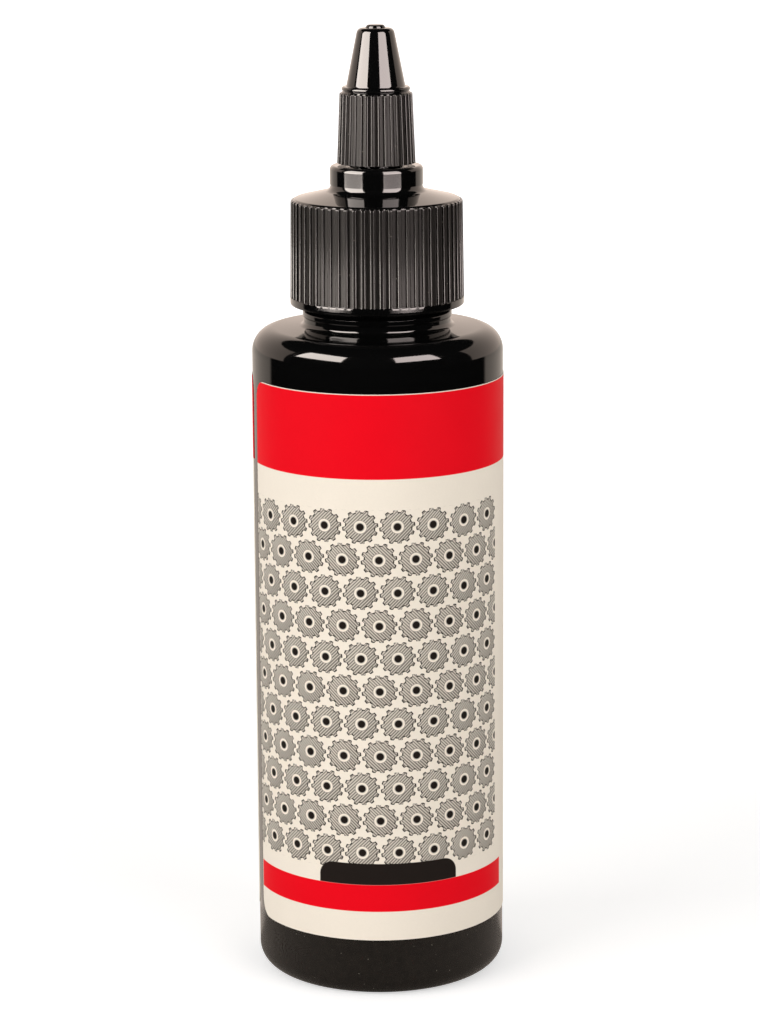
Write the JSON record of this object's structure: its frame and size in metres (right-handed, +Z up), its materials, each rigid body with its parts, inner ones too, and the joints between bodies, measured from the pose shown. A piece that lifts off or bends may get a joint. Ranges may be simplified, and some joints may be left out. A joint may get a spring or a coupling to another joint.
{
  "type": "chain lube bottle",
  "caption": "Slim cylindrical squeeze bottle with a wrap label, a ribbed screw cap and a ribbed conical drip tip that twists open.",
  "frame": {"origin": "on the table under the bottle's axis, at the middle of the ring that it stands on", "axes": "+Z up along the bottle's axis, the middle of the printed front faces -Y, +X to the right as seen from the front"},
  "size_m": [0.0386, 0.0386, 0.1476],
  "materials": {
    "bottle_plastic": "glossy black, blown",
    "label_film": "satin printed film",
    "liner_foam": "matt foamed polyethylene",
    "cap_plastic": "glossy black, satin ribs",
    "pin_plastic": "glossy black",
    "tip_plastic": "glossy black, satin ribs"
  },
  "bodies": {
    "bottle": {"bottle": "bottle_plastic", "wrap_label": "label_film"},
    "liner": {"cap_liner": "liner_foam"},
    "cap": {"cap_base": "cap_plastic"},
    "pin": {"valve_pin": "pin_plastic"},
    "tip": {"spout_tip": "tip_plastic"}
  },
  "joints": [
    {"name": "cap_rise", "type": "slide", "parent": "bottle", "child": "liner", "axis": [0, 0, 1], "range_m": [0, 0.01905]},
    {"name": "cap_turn", "type": "hinge", "parent": "liner", "child": "cap", "pos_m": [0, 0, 0.12], "axis": [0, 0, 1], "range_deg": [0, 2160]},
    {"name": "tip_turn", "type": "hinge", "parent": "cap", "child": "pin", "pos_m": [0, 0, 0.125], "axis": [0, 0, 1], "range_deg": [0, 180]},
    {"name": "tip_rise", "type": "slide", "parent": "pin", "child": "tip", "axis": [0, 0, 1], "range_m": [0, 0.0025]}
  ],
  "couplings": [
    {"joint": "cap_rise", "follows": "cap_turn", "m_per_rad": 0.00050532},
    {"joint": "tip_rise", "follows": "tip_turn", "m_per_rad": 0.00079577}
  ]
}
